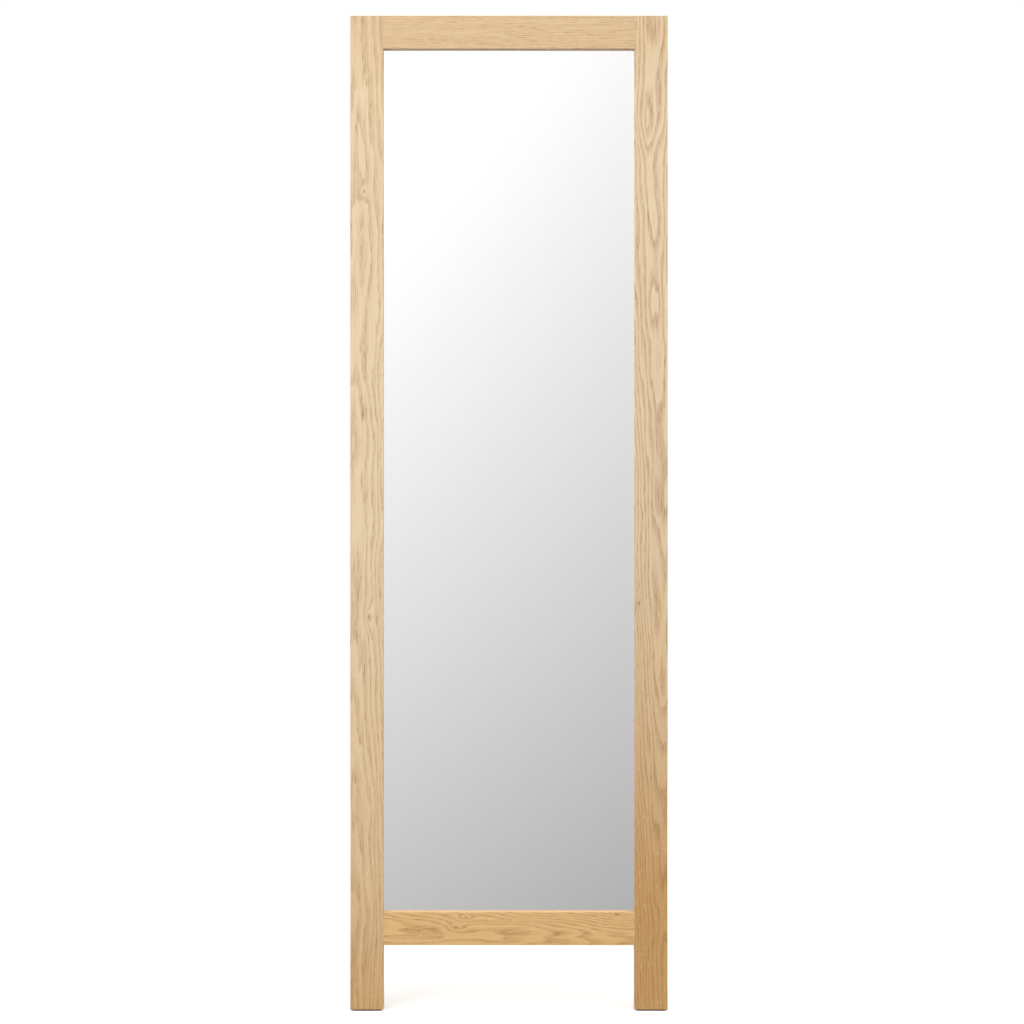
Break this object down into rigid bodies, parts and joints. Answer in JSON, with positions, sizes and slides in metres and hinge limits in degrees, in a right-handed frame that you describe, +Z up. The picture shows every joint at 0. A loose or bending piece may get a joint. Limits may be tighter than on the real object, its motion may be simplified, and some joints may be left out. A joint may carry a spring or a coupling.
{
  "type": "floor mirror",
  "caption": "Tall plain mirror in a square-edged oak frame that stands on its own stiles and leans back on a hinged rear frame held open by folding stays.",
  "frame": {"origin": "on the floor under the middle of the object's footprint, with the stand open", "axes": "+Z up, the mirror faces -Y and leans back towards +Y, +X to the right of a person who looks into it"},
  "size_m": [0.48, 0.465, 1.5],
  "materials": {
    "oak": "satin",
    "beech": "matte",
    "silvered_glass": "polished",
    "hardboard": "matte",
    "foam": "matte",
    "felt": "matte",
    "brass_plated_steel": "satin",
    "zinc_plated_steel": "satin",
    "zinc_screws": "satin"
  },
  "bodies": {
    "mirror_frame": {"stile_left": "oak", "stile_right": "oak", "top_rail": "oak", "bottom_rail": "oak", "loose_tenon_bottom_left": "beech", "loose_tenon_bottom_right": "beech", "loose_tenon_top_left": "beech", "loose_tenon_top_right": "beech", "mirror_glass": "silvered_glass", "backing_board": "hardboard", "foam_strip_left": "foam", "foam_strip_right": "foam", "foam_strip_bottom": "foam", "foam_strip_top": "foam", "front_foot_pad_left": "felt", "front_foot_pad_right": "felt", "backing_screw_1": "zinc_screws", "backing_screw_2": "zinc_screws", "backing_screw_3": "zinc_screws", "backing_screw_4": "zinc_screws", "backing_screw_5": "zinc_screws", "backing_screw_6": "zinc_screws", "backing_screw_7": "zinc_screws", "backing_screw_8": "zinc_screws", "hinge_leaf_front_left": "brass_plated_steel", "hinge_leaf_front_right": "brass_plated_steel", "hinge_pin_left": "brass_plated_steel", "hinge_pin_right": "brass_plated_steel", "hinge_screw_front_left_1": "brass_plated_steel", "hinge_screw_front_left_2": "brass_plated_steel", "hinge_screw_front_right_1": "brass_plated_steel", "hinge_screw_front_right_2": "brass_plated_steel", "stay_bracket_left": "zinc_plated_steel", "stay_bracket_right": "zinc_plated_steel", "stay_bracket_screw_left_1": "zinc_screws", "stay_bracket_screw_left_2": "zinc_screws", "stay_bracket_screw_right_1": "zinc_screws", "stay_bracket_screw_right_2": "zinc_screws", "stay_pivot_rivet_left": "zinc_screws", "stay_pivot_rivet_right": "zinc_screws"},
    "rear_frame": {"rear_leg_left": "oak", "rear_leg_right": "oak", "rear_crossbar_upper": "oak", "rear_crossbar_lower": "oak", "rear_foot_pad_left": "felt", "rear_foot_pad_right": "felt", "hinge_leaf_rear_left": "brass_plated_steel", "hinge_leaf_rear_right": "brass_plated_steel", "hinge_screw_rear_left_1": "brass_plated_steel", "hinge_screw_rear_left_2": "brass_plated_steel", "hinge_screw_rear_right_1": "brass_plated_steel", "hinge_screw_rear_right_2": "brass_plated_steel", "stay_leg_screw_left": "zinc_screws", "stay_leg_screw_right": "zinc_screws"},
    "stay_front_arm_left": {"stay_front_arm_left": "zinc_plated_steel", "stay_elbow_rivet_left": "zinc_screws"},
    "stay_rear_arm_left": {"stay_rear_arm_left": "zinc_plated_steel"},
    "stay_front_arm_right": {"stay_front_arm_right": "zinc_plated_steel", "stay_elbow_rivet_right": "zinc_screws"},
    "stay_rear_arm_right": {"stay_rear_arm_right": "zinc_plated_steel"}
  },
  "joints": [
    {"name": "stand_fold", "type": "hinge", "parent": "mirror_frame", "child": "rear_frame", "pos_m": [0, -0.10305, 1.12297], "axis": [-1, 0, 0], "range_deg": [0, 20.14]},
    {"name": "stay_front_turn_left", "type": "hinge", "parent": "mirror_frame", "child": "stay_front_arm_left", "pos_m": [-0.2072, -0.1541, 0.42476], "axis": [1, 0, 0], "range_deg": [0, 73.2]},
    {"name": "stay_rear_turn_left", "type": "hinge", "parent": "rear_frame", "child": "stay_rear_arm_left", "pos_m": [-0.2106, 0.08992, 0.47591], "axis": [-1, 0, 0], "range_deg": [0, 83]},
    {"name": "stay_front_turn_right", "type": "hinge", "parent": "mirror_frame", "child": "stay_front_arm_right", "pos_m": [0.2072, -0.1541, 0.42476], "axis": [1, 0, 0], "range_deg": [0, 73.2]},
    {"name": "stay_rear_turn_right", "type": "hinge", "parent": "rear_frame", "child": "stay_rear_arm_right", "pos_m": [0.2106, 0.08992, 0.47591], "axis": [-1, 0, 0], "range_deg": [0, 83]}
  ],
  "couplings": [
    {"joint": "stay_front_turn_left", "follows": "stand_fold", "ratio": 3.633},
    {"joint": "stay_rear_turn_left", "follows": "stand_fold", "ratio": 4.1202},
    {"joint": "stay_front_turn_right", "follows": "stand_fold", "ratio": 3.633},
    {"joint": "stay_rear_turn_right", "follows": "stand_fold", "ratio": 4.1202}
  ]
}
